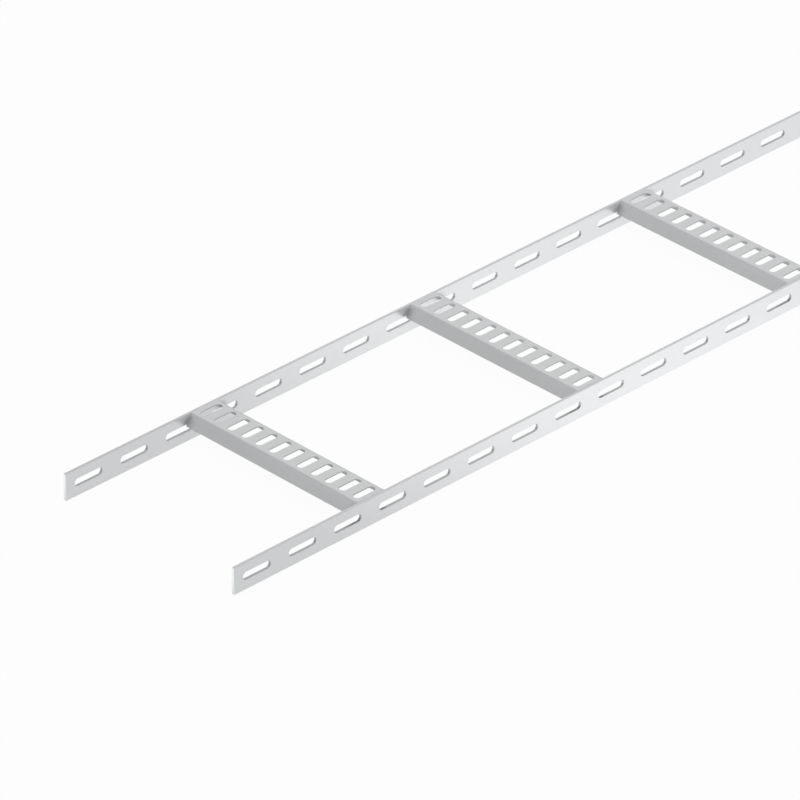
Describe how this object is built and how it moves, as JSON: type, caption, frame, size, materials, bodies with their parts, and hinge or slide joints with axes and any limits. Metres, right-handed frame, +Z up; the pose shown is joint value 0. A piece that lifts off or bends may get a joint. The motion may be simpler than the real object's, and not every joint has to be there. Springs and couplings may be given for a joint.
{
  "type": "cable ladder section",
  "caption": "Straight cable ladder length with slotted flat side rails joined by perforated, folded sheet rungs.",
  "frame": {"origin": "centre of the footprint, on the level of the side rails' lower edges", "axes": "+X along the ladder, away from the end that has the longer space before its first rung; +Y across the ladder, from the right rail to the left rail; +Z up, from the rails' lower edges to the rungs' crowns"},
  "size_m": [3, 0.2, 0.025],
  "materials": {
    "rail_steel": "matt galvanised strip",
    "rung_steel": "matt galvanised sheet"
  },
  "bodies": {
    "root": {"rail_right": "rail_steel", "rail_left": "rail_steel", "rung_01": "rung_steel", "rung_02": "rung_steel", "rung_03": "rung_steel", "rung_04": "rung_steel", "rung_05": "rung_steel", "rung_06": "rung_steel", "rung_07": "rung_steel", "rung_08": "rung_steel", "rung_09": "rung_steel", "rung_10": "rung_steel", "rung_11": "rung_steel", "rung_12": "rung_steel"}
  },
  "joints": []
}
